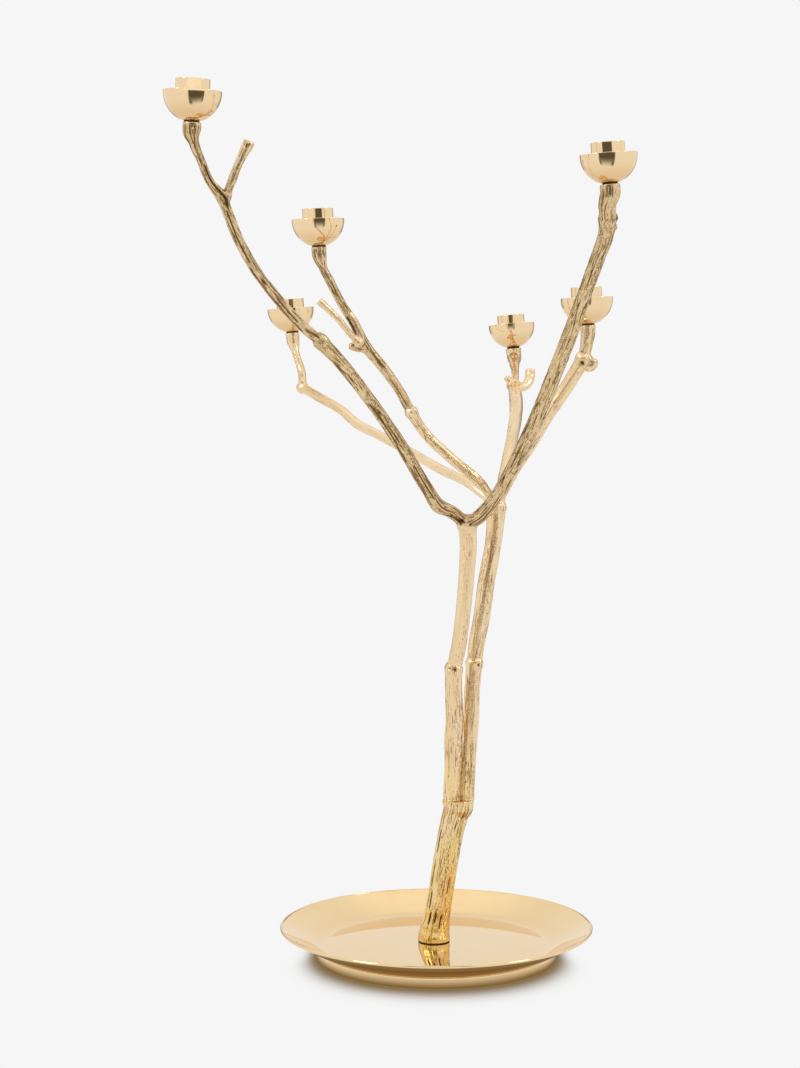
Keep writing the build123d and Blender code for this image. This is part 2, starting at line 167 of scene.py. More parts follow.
# Short cut-off side shoots, each cast with a limb
spurs = {
    "mid_left_tip": [
        (-0.063, 0.01, 0.5445, 0.0038), (-0.0705, 0.009, 0.545, 0.0037), (-0.0773, 0.008, 0.5466, 0.0035),
    ],
    "rear_right_bough": [
        (0.079, 0.245, 0.504, 0.0034), (0.074, 0.242, 0.509, 0.0033), (0.071, 0.24, 0.513, 0.0032),
    ],
    "mid_right_bough": [
        (0.1285, 0.005, 0.5315, 0.0052), (0.1348, 0.004, 0.529, 0.0052), (0.1382, 0.003, 0.5355, 0.0044),
    ],
    "front_left_bough": [
        (-0.097, -0.13, 0.549, 0.004), (-0.0988, -0.1285, 0.554, 0.0038), (-0.1, -0.127, 0.5593, 0.0031),
    ],
    "front_right_bough": [
        (0.1325, -0.176, 0.64, 0.003), (0.1375, -0.178, 0.643, 0.0029), (0.1407, -0.18, 0.6455, 0.0026),
    ],
}

# The castings as they look: each is one skin over several CAD limbs. Name: limbs, knots
castings = {
    "trunk": (["lower_trunk", "front_stem_lower", "rear_stem_lower"], ["front_step", "rear_step"]),
    "front_stem": (
        ["front_stem_upper", "front_left_bough", "front_right_bough"],
        ["front_fork", "front_left_knee", "front_right_knot"],
    ),
    "rear_stem": (
        ["rear_stem_upper", "mid_left_bough", "rear_left_bough", "rear_right_bough", "mid_right_bough"],
        ["rear_fork", "mid_left_knee", "rear_left_elbow", "rear_right_knot", "mid_right_knot"],
    ),
    "front_left_limb": (["front_left_tip", "front_left_twig"], ["front_left_fork"]),
    "mid_left_limb": (["mid_left_tip", "mid_left_twig"], ["mid_left_fork"]),
    "rear_left_limb": (["rear_left_tip"], []),
    "rear_right_limb": (["rear_right_tip", "rear_right_stub"], []),
    "mid_right_limb": (["mid_right_tip"], []),
    "front_right_limb": (["front_right_tip"], []),
}

# How rough the bark is, from 0 to 1: the front boughs have deep furrows, the rear ones are smoother
roughness_of_bark = {
    "lower_trunk": 0.5, "front_stem_lower": 0.42, "rear_stem_lower": 0.52, "front_stem_upper": 0.2,
    "rear_stem_upper": 0.42, "front_left_bough": 0.95, "front_right_bough": 0.9, "front_left_tip": 0.9,
    "front_left_twig": 0.6, "front_right_tip": 0.85, "rear_left_tip": 0.35, "rear_right_stub": 0.15,
    "mid_left_twig": 0.25, "rear_left_bough": 0.32, "mid_left_tip": 0.8, "rear_right_bough": 0.18,
    "mid_right_bough": 0.38, "mid_left_bough": 0.45, "rear_right_tip": 0.45, "mid_right_tip": 0.55,
}

# ---------------- noise and smooth steps

def eased(value, low, high):
    """0 below low, 1 above high, and a smooth step between them."""
    t = np.clip((value - low) / (high - low), 0, 1)
    return t * t * (3 - 2 * t)


def noise(points, seed):
    """Gradient noise at points, about -0.7 to 0.7, with cells of size 1."""
    rng = np.random.default_rng(seed)
    slopes = rng.normal(size=(256, 3))
    slopes /= np.linalg.norm(slopes, axis=1, keepdims=True)
    order = rng.permutation(256)
    cell = np.floor(points).astype(int)
    inside = points - cell
    ease = inside**3 * (inside * (inside * 6 - 15) + 10)
    total = np.zeros(len(points))
    for corner in np.ndindex(2, 2, 2):
        at = (cell + corner) % 256
        pick = order[(order[(order[at[:, 0]] + at[:, 1]) % 256] + at[:, 2]) % 256]
        share = np.prod(np.where(corner, ease, 1 - ease), axis=1)
        total += share * np.sum(slopes[pick] * (inside - corner), axis=1)
    return total


# ---------------- limbs as smooth routes

cup_bowl_depth = 0.0232
cup_washer_thickness = 0.0012
limb_end = -cup_bowl_depth - cup_washer_thickness    # a limb's end face, below the cup's rim
flare_length = 0.007


def cup_frame(cup):
    """A cup's rim centre, its axis, and two directions across it."""
    x, y, z, right, back, _ = cups[cup]
    along = Vector((math.tan(math.radians(right)), math.tan(math.radians(back)), 1)).normalized()
    side = (Vector((1, 0, 0)) - along * along.x).normalized()
    return Vector((x, y, z)), along, side, along.cross(side)


def stations_of(name):
    """A limb's stations. A tip ends square to its cup's axis, under the washer."""
    route = list(limbs[name])
    if name.endswith("_tip"):
        cup = name[:-len("_tip")]
        rim, along = cup_frame(cup)[:2]
        end_radius = cups[cup][5]
        route.append((*(rim + along * (limb_end - flare_length)), 0.92 * end_radius))
        route.append((*(rim + along * limb_end), end_radius))
    return np.array(route)


def smoothed(stations, spacing=0.001):
    """Points and radii on a smooth curve through the stations, about spacing apart."""
    points, radii = stations[:, :3], stations[:, 3]
    runs = np.linalg.norm(np.diff(points, axis=0), axis=1)
    chords = np.diff(points, axis=0) / runs[:, None]
    middle_slopes = chords[1:] * runs[:-1, None] + chords[:-1] * runs[1:, None]
    slopes = np.vstack([chords[:1], middle_slopes, chords[-1:]])
    slopes /= np.linalg.norm(slopes, axis=1, keepdims=True)
    made = []
    for i, run in enumerate(runs):
        steps = max(1, round(run / spacing))
        t = np.arange(steps + (i == len(runs) - 1)) / steps
        ease = t * t * (3 - 2 * t)
        place = points[i] + (points[i + 1] - points[i]) * ease[:, None]
        place = place + slopes[i] * (t * (1 - t)**2 * run)[:, None]
        place = place + slopes[i + 1] * (t * t * (t - 1) * run)[:, None]
        made.append(np.column_stack([place, radii[i] + (radii[i + 1] - radii[i]) * ease]))
    return np.vstack(made)


# How round the edge of a limb's end is: a cut-off shoot is well worn, an end under a cup is crisp
worn_edge, crisp_edge = 0.0022, 0.0004
points_at_once = 20000


class Route:
    """A limb's centre line, with a frame that turns as little as possible along it."""

    def __init__(self, name, stations, bark, seed, cut_end):
        self.name = name
        line = smoothed(stations)
        self.points, self.radii = line[:, :3], line[:, 3]
        steps = np.diff(self.points, axis=0)
        self.lengths = np.concatenate([[0], np.cumsum(np.linalg.norm(steps, axis=1))])
        ahead = np.gradient(self.points, axis=0)
        self.along = ahead / np.linalg.norm(ahead, axis=1, keepdims=True)
        side = np.array([1.0, 0, 0])
        sides = []
        for direction in self.along:
            side = side - direction * (side @ direction)
            side /= np.linalg.norm(side)
            sides.append(side)
        self.sides = np.array(sides)
        self.others = np.cross(self.along, self.sides)
        self.girth = float(np.mean(self.radii))
        self.bark, self.seed, self.cut_end = bark, seed, cut_end

    def place(self, points):
        """For each point: the distance from the limb's surface, the distance along it and the angle."""
        nearest = np.empty(len(points), int)
        for start in range(0, len(points), points_at_once):
            part = points[start:start + points_at_once]
            squares = (part**2).sum(1)[:, None] - 2 * part @ self.points.T + (self.points**2).sum(1)[None]
            nearest[start:start + points_at_once] = squares.argmin(1)
        gap = points - self.points[nearest]
        ahead = np.sum(gap * self.along[nearest], axis=1)
        across = np.sum(gap * self.sides[nearest], axis=1)
        up = np.sum(gap * self.others[nearest], axis=1)
        reach = self.lengths[nearest] + ahead
        beside = np.hypot(across, up) - np.interp(reach, self.lengths, self.radii)
        beyond = np.maximum(reach - self.lengths[-1], -reach)
        edge = worn_edge if self.name.endswith(("_stub", "spur")) else crisp_edge
        a, b = beside + edge, beyond + edge
        distance = np.hypot(np.maximum(a, 0), np.maximum(b, 0)) + np.minimum(np.maximum(a, b), 0) - edge
        return distance, reach, np.arctan2(up, across)


# ---------------- meshes

def new_piece(name, mesh, material):
    """A mesh as an object in the scene, with its one material."""
    piece = bpy.data.objects.new(name, mesh)
    bpy.context.scene.collection.objects.link(piece)
    mesh.materials.clear()
    mesh.materials.append(material)
    return piece


def belongs(piece, body, slot, *nodes):
    """The body that the piece rides on, its material's slot (not used) and the CAD nodes that it stands
    for.
    """
    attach(piece, body)
    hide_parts(*nodes)


def smooth_mesh(name, corners, faces):
    """A mesh with smooth shading."""
    mesh = bpy.data.meshes.new(name)
    mesh.from_pydata([tuple(map(float, c)) for c in corners], [], faces)
    mesh.polygons.foreach_set("use_smooth", [True] * len(mesh.polygons))
    mesh.update()
    return mesh


def ring_faces(rings, around):
    """Faces between neighbouring rings of corners, and a cap on the first and the last ring."""
    faces = []
    for row in range(rings - 1):
        for k in range(around):
            a, b = row * around + k, row * around + (k + 1) % around
            faces.append((a, b, b + around, a + around))
    faces.append(tuple(reversed(range(around))))
    faces.append(tuple(range((rings - 1) * around, rings * around)))
    return faces


def tube(route, around=28, step=3):
    """A closed round tube along a route."""
    picks = sorted({*range(0, len(route.points), step), len(route.points) - 1})
    angles = np.arange(around) * 2 * math.pi / around
    corners = []
    for i in picks:
        ring = np.cos(angles)[:, None] * route.sides[i] + np.sin(angles)[:, None] * route.others[i]
        corners.extend(route.points[i] + route.radii[i] * ring)
    return corners, ring_faces(len(picks), around)


def arc(centre, radius, start, end, steps):
    """Points on an arc of an outline, from one angle to another in degrees."""
    angles = np.radians(np.linspace(start, end, steps + 1))
    return [(centre[0] + radius * math.cos(a), centre[1] + radius * math.sin(a)) for a in angles]


def revolved(outline, origin, along, side, other, segments):
    """Corners and faces of a closed outline of (radius, height) points, turned about an axis."""
    origin, along, side, other = (np.array(v, float) for v in (origin, along, side, other))
    corners, faces, rows = [], [], []
    for radius, height in outline:
        count = 1 if radius < 1e-7 else segments
        rows.append([len(corners) + k % count for k in range(segments)])
        for k in range(count):
            angle = 2 * math.pi * k / segments
            outward = math.cos(angle) * side + math.sin(angle) * other
            corners.append(origin + along * height + radius * outward)
    for lower, upper in zip(rows, rows[1:] + rows[:1]):
        for k in range(segments):
            n = (k + 1) % segments
            face = list(dict.fromkeys((lower[k], lower[n], upper[n], upper[k])))
            if len(face) > 2:
                faces.append(tuple(face))
    return corners, faces, rows


def ball(centre, radius):
    """A closed sphere."""
    return revolved(arc((0, 0), radius, -90, 90, 12), centre, (0, 0, 1), (1, 0, 0), (0, 1, 0), 24)[:2]


def joined(shapes):
    """One list of corners and faces from several."""
    corners, faces = [], []
    for some_corners, some_faces in shapes:
        shift = len(corners)
        corners.extend(some_corners)
        faces.extend(tuple(i + shift for i in face) for face in some_faces)
    return corners, faces


def remeshed(mesh, voxel):
    """One even skin over all the closed shapes in the mesh."""
    holder = bpy.data.objects.new("holder", mesh)
    bpy.context.scene.collection.objects.link(holder)
    modifier = holder.modifiers.new("skin", "REMESH")
    modifier.mode = "VOXEL"
    modifier.voxel_size = voxel
    modifier.use_smooth_shade = True
    evaluated = holder.evaluated_get(bpy.context.evaluated_depsgraph_get())
    made = bpy.data.meshes.new_from_object(evaluated)
    bpy.data.objects.remove(holder)
    bpy.data.meshes.remove(mesh)
    return made


def corners_of(mesh):
    """Every vertex's place, one row each."""
    values = np.empty(len(mesh.vertices) * 3, np.float32)
    mesh.vertices.foreach_get("co", values)
    return values.reshape(-1, 3).astype(float)


def put_corners(mesh, corners):
    mesh.vertices.foreach_set("co", corners.astype(np.float32).ravel())
    mesh.update()


def normals_of(mesh):
    """Every vertex's normal, one row each."""
    values = np.empty(len(mesh.vertices) * 3, np.float32)
    mesh.vertex_normals.foreach_get("vector", values)
    return values.reshape(-1, 3).astype(float)


class Neighbours:
    """The mean of each vertex's neighbours, for any values on the vertices."""

    def __init__(self, mesh):
        edges = np.empty(len(mesh.edges) * 2, np.int32)
        mesh.edges.foreach_get("vertices", edges)
        self.a, self.b = edges.reshape(-1, 2).T
        self.size = len(mesh.vertices)
        self.count = np.bincount(self.a, minlength=self.size) + np.bincount(self.b, minlength=self.size)

    def mean(self, values):
        if values.ndim > 1:
            return np.column_stack([self.mean(values[:, k]) for k in range(values.shape[1])])
        from_b = np.bincount(self.a, values[self.b], self.size)
        from_a = np.bincount(self.b, values[self.a], self.size)
        return (from_b + from_a) / np.maximum(self.count, 1)

    def smooth(self, values, rounds, share=0.5):
        """The values after some rounds of moving each one a share of the way to its neighbours' mean."""
        for _ in range(rounds):
            values = values + share * (self.mean(values) - values)
        return values


def put_attribute(mesh, name, values):
    """Stores a number or a vector for every vertex, for the materials to read."""
    kind = "FLOAT_VECTOR" if values.ndim > 1 else "FLOAT"
    field = "vector" if values.ndim > 1 else "value"
    attribute = mesh.attributes.new(name, kind, "POINT")
    attribute.data.foreach_set(field, values.astype(np.float32).ravel())


# ---------------- bark relief

bark_stretch = 9.0       # the bark's pattern is this much longer along the limb than around it

# The size of each feature's cells around the limb, and how far it stands out or sinks in
lump_size, lump_height = 0.006, 0.00046
rib_size, rib_height = 0.0018, 0.00028
furrow_size, furrow_depth = 0.0019, 0.00062
crack_size, crack_depth = 0.0013, 0.00028
band_spacing, band_depth = 0.01, 0.00018
wander_size = 0.0036     # the ribs and furrows wander sideways in cells of this size

# The skin of a casting
fillet = 0.0009          # how softly limbs run into one another
longest_pull = 0.0015    # the most that a vertex moves in one fairing step
bark_blend = 0.0007      # how softly one limb's bark gives way to the next one's
bark_reach = 0.009       # a limb's bark ends this far from its surface
cut_face = (0.0006, 0.0035)             # the bark fades out over this stretch before a cut end
hollow_shade_range = (0.00004, 0.00017)    # painted shade in a hollow starts at the first depth, and is full at the second
# How dark the painted shade in hollows gets
hollow_shade_strength = 0.75
seat_shade_height, seat_shade_blur = 0.0014, 0.0007   # painted shade in a line round the trunk's foot, where it stands on the tray: its height and blur


def bark_place(route, reach, angle):
    """Where a point lies in the bark's own pattern, in metres, squeezed along the limb."""
    return np.column_stack([
        route.girth * np.cos(angle), route.girth * np.sin(angle), reach / bark_stretch + route.seed,
    ])


def thin_lines(values, width):
    """1 where the values pass through zero, falling off on both sides."""
    return np.exp(-(values / width)**2)


def bark_relief(route, place, reach):
    """The height of the bark and how dark its furrows are, for points on one limb."""
    lumps = noise(place * (1, 1, 1.2) / lump_size, 11)
    wander = noise(place / wander_size, 14)
    ribs = 1 - 2.6 * np.abs(noise(place / rib_size, 12) + 0.12 * wander)
    furrows = thin_lines(noise(place * (1, 1, 0.45) / furrow_size, 15) + 0.1 * wander, 0.1)
    furrows *= eased(noise(place * (1, 1, 1.6) / 0.0042, 16), -0.26, 0.16)
    cracks = thin_lines(noise(place / crack_size, 19), 0.1)
    cracks *= eased(noise(place * (1, 1, 3.4) / 0.004, 20), -0.05, 0.2)
    nothing = np.zeros(len(reach))
    ring_place = np.column_stack([reach / band_spacing + route.seed * 999, nothing, nothing])
    bands = thin_lines(noise(ring_place, 17), 0.05)
    bands *= eased(noise(place / 0.0052, 18), 0.02, 0.25)
    bark = rib_height * ribs - furrow_depth * furrows - crack_depth * cracks - band_depth * bands
    darkness = np.maximum(furrows, np.maximum(0.65 * cracks, 0.4 * bands))
    return lump_height * lumps + route.bark * bark, route.bark * darkness


def faired(mesh, near, routes, balls):
    """Pulls a mesh onto the surface of the routes and balls, with a fillet where they meet."""
    corners = near.smooth(corners_of(mesh), 3)
    for step in range(3):
        put_corners(mesh, corners)
        pull = np.zeros(len(corners))
        for route in routes:
            pull += np.exp(-route.place(corners)[0] / fillet)
        for place in balls:
            pull += np.exp(-(np.linalg.norm(corners - place[:3], axis=1) - place[3]) / fillet)
        surface = -fillet * np.log(np.maximum(pull, 1e-9))
        corners = corners - normals_of(mesh) * np.clip(surface, -longest_pull, longest_pull)[:, None]
        if step < 2:
            corners = near.smooth(corners, 1)
    put_corners(mesh, corners)
    return corners


def groove_share(route, reach, angle, start, length, middle, width):
    """1 on a groove's centre line, and 0 well beside it and past its ends."""
    aside = (angle - math.radians(middle) + math.pi) % (2 * math.pi) - math.pi
    share = thin_lines(aside * route.girth, width)
    share *= eased(reach, start - 0.002, start + 0.003)
    return share * eased(-reach, -start - length - 0.003, -start - length + 0.002)


def bark_skin(name, routes, balls, details, grooves, voxel, seat):
    """A skin over the routes and balls, faired where they meet, with its bark relief.

    seat is the height that the casting stands on, where a line of painted shade runs round it."""
    shapes = [tube(route) for route in routes] + [ball(place[:3], place[3]) for place in balls]
    mesh = remeshed(smooth_mesh(name, *joined(shapes)), voxel)
    near = Neighbours(mesh)
    corners = faired(mesh, near, routes, balls)
    normals = near.smooth(normals_of(mesh), 2)
    normals /= np.linalg.norm(normals, axis=1, keepdims=True)
    height, depth, weight, coarse = (np.zeros(len(corners)) for _ in range(4))
    pattern = np.zeros((len(corners), 3))
    for route in routes:
        distance, reach, angle = route.place(corners)
        share = np.exp(-np.clip(distance, 0, 0.02) / bark_blend)
        close = np.flatnonzero(distance < bark_reach)
        share, reach, angle = share[close], reach[close], angle[close]
        place = bark_place(route, reach, angle)
        relief, dark = bark_relief(route, place, reach)
        for *groove, fall in grooves.get(route.name, []):
            part = groove_share(route, reach, angle, *groove)
            relief, dark = relief - fall * part, np.maximum(dark, part)
        keep = eased(route.lengths[-1] - reach, *cut_face) if route.cut_end else 1.0
        height[close] += share * relief * keep
        depth[close] += share * dark * keep
        pattern[close] += share[:, None] * place
        weight[close] += share
        coarse[close] += share * route.bark
    weight = np.maximum(weight, 1e-12)
    height, depth, pattern = height / weight, depth / weight, pattern / weight[:, None]
    for centre, size, rise in details:
        bump = thin_lines(np.linalg.norm(corners - centre, axis=1), size)
        wrinkle = 1 + 0.5 * noise((corners - centre) / (0.35 * size), 21)
        height += rise * bump * wrinkle
        if rise < 0:
            depth += 0.75 * bump
    corners = corners + normals * height[:, None]
    put_corners(mesh, corners)
    # The furrows' own brown, plus painted shade where the skin is hollow and in a line round the seat
    hollow = np.sum((near.smooth(corners, 6) - corners) * normals, axis=1)
    crevice_tint_and_shade = np.clip(depth + hollow_shade_strength * eased(hollow, *hollow_shade_range), 0, 1)
    if seat is not None:
        crevice_tint_and_shade = np.maximum(crevice_tint_and_shade, eased(seat + seat_shade_height - corners[:, 2], 0, seat_shade_blur))
    put_attribute(mesh, "coarseness", coarse / weight)
    put_attribute(mesh, "bark_place", pattern)
    put_attribute(mesh, "crevice_tint_and_shade", near.smooth(crevice_tint_and_shade, 1))
    return mesh


# ---------------- turned pieces

def softened(corners, size, steps=4):
    """The closed outline with each sharp corner rounded, and a point on the flat beside it."""
    made = []
    count = len(corners)
    for i, here in enumerate(corners):
        here = np.array(here, float)
        before, after = np.array(corners[i - 1], float), np.array(corners[(i + 1) % count], float)
        back, ahead = before - here, after - here
        long_back, long_ahead = np.linalg.norm(back), np.linalg.norm(ahead)
        turn = math.acos(np.clip(-(back @ ahead) / (long_back * long_ahead), -1, 1))
        if turn < math.radians(20) or here[0] < 1e-7:
            made.append(tuple(here))
            continue
        start = here + back * min(size / long_back, 0.45)
        end = here + ahead * min(size / long_ahead, 0.45)
        made.append(tuple(start + back * min(0.3 * size / long_back, 0.04)))
        for k in range(steps + 1):
            t = k / steps
            made.append(tuple(start * (1 - t)**2 + here * 2 * t * (1 - t) + end * t * t))
        made.append(tuple(end + ahead * min(0.3 * size / long_ahead, 0.04)))
    return made


def turned(name, outline, material, origin, along, side, other, segments):
    """A turned piece. across is each corner's distance along the outline, and fall how low it lies."""
    corners, faces, rows = revolved(outline, origin, along, side, other, segments)
    sections = np.linalg.norm(np.diff(np.array(outline), axis=0), axis=1)
    across = np.zeros(len(corners))
    for row, travel in zip(rows, [0, *np.cumsum(sections)]):
        across[row] = travel
    mesh = smooth_mesh(name, corners, faces)
    put_attribute(mesh, "across", across)
    heights = (np.array(corners) - np.array(origin)) @ np.array(along)
    put_attribute(mesh, "fall", (heights.max() - heights) / np.ptp(heights))
    return new_piece(name, mesh, material)


# ---------------- materials

def add(tree, kind, settings=None, **inputs):
    """A new node. Each input is a plain value or another node's output, by its name in lower case."""
    node = tree.nodes.new("ShaderNode" + kind)
    for key, value in (settings or {}).items():
        setattr(node, key, value)
    named = {socket.name.lower().replace(" ", "_"): socket for socket in reversed(node.inputs)}
    for key, value in inputs.items():
        socket = node.inputs[int(key[1:])] if key[1:].isdigit() else named[key]
        if isinstance(value, bpy.types.NodeSocket):
            tree.links.new(value, socket)
        else:
            socket.default_value = value
    return node


def mixed(tree, share, a, b):
    """A colour between a and b."""
    return add(tree, "Mix", {"data_type": "RGBA"}, _0=share, _6=a, _7=b).outputs[2]


def ranged(tree, value, low, high, to_low=0.0, to_high=1.0):
    """A smooth step from to_low to to_high while the value goes from low to high."""
    node = add(tree, "MapRange", {"interpolation_type": "SMOOTHSTEP"}, value=value)
    for socket, number in zip(list(node.inputs)[1:5], (low, high, to_low, to_high)):
        socket.default_value = number
    return node.outputs[0]


def calculated(tree, operation, a, b=0.0, c=0.0):
    """One sum of a Math node."""
    return add(tree, "Math", {"operation": operation}, _0=a, _1=b, _2=c).outputs[0]


def noisy(tree, vector, scale, detail=2.0, roughness=0.5):
    """Noise from 0 to 1, with scale cells to the metre."""
    return add(tree, "TexNoise", vector=vector, scale=scale, detail=detail, roughness=roughness).outputs[0]


def attribute(tree, name, output="Fac"):
    """What put_attribute stored under this name."""
    return add(tree, "Attribute", {"attribute_name": name}).outputs[output]


def veins(tree, vector, scale, detail, strength, width):
    """Thin lines where a noise passes through its middle value."""
    gap = calculated(tree, "SUBTRACT", noisy(tree, vector, scale, detail), 0.5)
    return ranged(tree, calculated(tree, "ABSOLUTE", gap), *width, strength, 0.0)


def new_material(name, metallic):
    material = bpy.data.materials.new(name)
    material.use_nodes = True
    tree = material.node_tree
    shader = tree.nodes["Principled BSDF"]
    shader.inputs["Metallic"].default_value = metallic
    return material, tree, shader


def connect(tree, shader, colour, rough, height, strength, distance):
    """Gives the shader its colour and roughness, and a bump from a height."""
    normal = add(tree, "Bump", strength=strength, distance=distance, height=height).outputs[0]
    for name, output in (("Base Color", colour), ("Roughness", rough), ("Normal", normal)):
        tree.links.new(output, shader.inputs[name])


def object_place(tree):
    return add(tree, "TexCoord").outputs["Object"]


pale_gold, warm_gold = (0.92, 0.71, 0.45, 1), (0.86, 0.63, 0.36, 1)
yellow_gold, olive_gold = (0.9, 0.65, 0.19, 1), (0.68, 0.5, 0.26, 1)
fibre_brown, spot_brown = (0.62, 0.42, 0.2, 1), (0.36, 0.21, 0.08, 1)
# Browns for the furrows, which also colour the painted shade in hollows and at the trunk's seat
furrow_brown_and_shade, deepest_brown_and_shade = (0.37, 0.235, 0.095, 1), (0.075, 0.042, 0.015, 1)


def bark_brass():
    """Cast brass: pale on the ridges, deep gold in places and towards the foot, brown in the furrows, and
    darker where shade is painted into hollows and round the trunk's seat.
    """
    material, tree, shader = new_material("bark_brass", 1.0)
    place = attribute(tree, "bark_place", "Vector")
    crevice_tint_and_shade, coarse = attribute(tree, "crevice_tint_and_shade"), attribute(tree, "coarseness")
    body = object_place(tree)
    tone = noisy(tree, place, 170.0, 3.0)
    fibres = noisy(tree, place, 900.0, 4.0, 0.6)
    spots = noisy(tree, body, 420.0, 3.0, 0.6)
    hair = veins(tree, place, 620.0, 2.0, 1.0, (0.006, 0.03))
    hair = calculated(tree, "MULTIPLY", hair, ranged(tree, noisy(tree, place, 130.0), 0.44, 0.56))
    hair = calculated(tree, "MULTIPLY", hair, ranged(tree, coarse, 0.15, 0.8, 0.45, 0.95))
    lines = veins(tree, place, 900.0, 1.0, 0.62, (0.008, 0.04))
    lines = calculated(tree, "MULTIPLY", lines, ranged(tree, coarse, 0.4, 0.85))
    dark = calculated(tree, "MAXIMUM", calculated(tree, "MAXIMUM", crevice_tint_and_shade, hair), lines)
    height = add(tree, "SeparateXYZ", vector=body).outputs["Z"]
    low = ranged(tree, height, 0.05, 0.24, 1.0, 0.0)
    yellowed = calculated(tree, "MULTIPLY", low, ranged(tree, tone, 0.38, 0.62, 0.25, 0.9))
    gold = mixed(tree, ranged(tree, tone, 0.35, 0.68), pale_gold, warm_gold)
    gold = mixed(tree, yellowed, gold, yellow_gold)
    gold = mixed(tree, ranged(tree, coarse, 0.45, 1.0, 0.0, 0.45), gold, olive_gold)
    gold = mixed(tree, ranged(tree, fibres, 0.5, 0.8, 0.0, 0.45), gold, fibre_brown)
    gold = mixed(tree, ranged(tree, spots, 0.62, 0.72, 0.0, 0.7), gold, spot_brown)
    # The furrows' own brown, and painted shade in hollows and at the trunk's seat, both darken the gold
    # here
    gold = mixed(tree, ranged(tree, dark, 0.15, 0.6), gold, furrow_brown_and_shade)
    gold = mixed(tree, ranged(tree, dark, 0.5, 1.0), gold, deepest_brown_and_shade)
    rough = calculated(tree, "MULTIPLY_ADD", fibres, 0.14, 0.1)
    rough = calculated(tree, "MULTIPLY_ADD", dark, 0.35, rough)
    relief = calculated(tree, "SUBTRACT", fibres, calculated(tree, "MULTIPLY", hair, 0.8))
    connect(tree, shader, gold, rough, relief, strength=0.6, distance=0.00025)
    return material


def polished_brass(name, colour, deeper, painted_foot_shade, roughness, turning):
    """Polished brass with the fine rings of its turning and a few faint smears, and painted shade that
    deepens it towards its foot.
    """
    material, tree, shader = new_material(name, 1.0)
    ring_place = add(tree, "CombineXYZ", x=attribute(tree, "across")).outputs[0]
    rings = noisy(tree, ring_place, 2600.0, 3.0, 0.7)
    smears = noisy(tree, object_place(tree), 45.0, 4.0, 0.6)
    fall = attribute(tree, "fall")
    gold = mixed(tree, ranged(tree, smears, 0.4, 0.8), colour, deeper)
    # Painted shade: the colour darkens towards the piece's foot
    gold = mixed(tree, ranged(tree, fall, 0.25, 0.95), gold, painted_foot_shade)
    rough = calculated(tree, "MULTIPLY_ADD", ranged(tree, smears, 0.5, 0.8), 0.03, roughness)
    rough = calculated(tree, "MULTIPLY_ADD", rings, 0.02, rough)
    connect(tree, shader, gold, rough, rings, strength=turning, distance=0.00003)
    return material


def plain_metal(name, colour, darker, roughness, grain):
    """Cast or plated metal for what is hidden underneath and inside."""
    material, tree, shader = new_material(name, 1.0)
    fine = noisy(tree, object_place(tree), grain, 4.0, 0.6)
    blend = mixed(tree, ranged(tree, fine, 0.35, 0.7), colour, darker)
    rough = calculated(tree, "MULTIPLY_ADD", fine, 0.2, roughness)
    connect(tree, shader, blend, rough, fine, strength=0.3, distance=0.0001)
    return material


def soft_material(name, colour, lighter, grain, depth, sheen):
    """Felt or rubber."""
    material, tree, shader = new_material(name, 0.0)
    shader.inputs["Sheen Weight"].default_value = sheen
    fuzz = noisy(tree, object_place(tree), grain, 5.0, 0.75)
    blend = mixed(tree, ranged(tree, fuzz, 0.35, 0.7), colour, lighter)
    rough = calculated(tree, "MULTIPLY_ADD", fuzz, 0.2, 0.7)
    connect(tree, shader, blend, rough, fuzz, strength=0.7, distance=depth)
    return material


bark = bark_brass()
# The third colour of each is painted shade towards the foot: strong on the cups, faint on the tray
tray_brass = polished_brass(
    "polished_brass", (0.9, 0.68, 0.385, 1), (0.88, 0.65, 0.35, 1), (0.88, 0.65, 0.36, 1),
    roughness=0.035, turning=0.12,
)
cup_brass = polished_brass(
    "cup_brass", (0.92, 0.7, 0.43, 1), (0.9, 0.67, 0.39, 1), (0.79, 0.54, 0.28, 1),
    roughness=0.07, turning=0.3,
)
iron = plain_metal(
    "ballast_iron", (0.16, 0.16, 0.17, 1), (0.07, 0.07, 0.075, 1), roughness=0.5, grain=900.0,
)
steel = plain_metal(
    "fixing_steel", (0.56, 0.56, 0.57, 1), (0.42, 0.42, 0.43, 1), roughness=0.25, grain=1500.0,
)
felt = soft_material(
    "base_felt", (0.03, 0.026, 0.022, 1), (0.075, 0.068, 0.06, 1), grain=1900.0, depth=0.0005, sheen=0.4,
)
rubber = soft_material(
    "cup_washer", (0.035, 0.028, 0.02, 1), (0.08, 0.064, 0.048, 1), grain=1300.0, depth=0.0001, sheen=0.0,
)

# ---------------- the tree

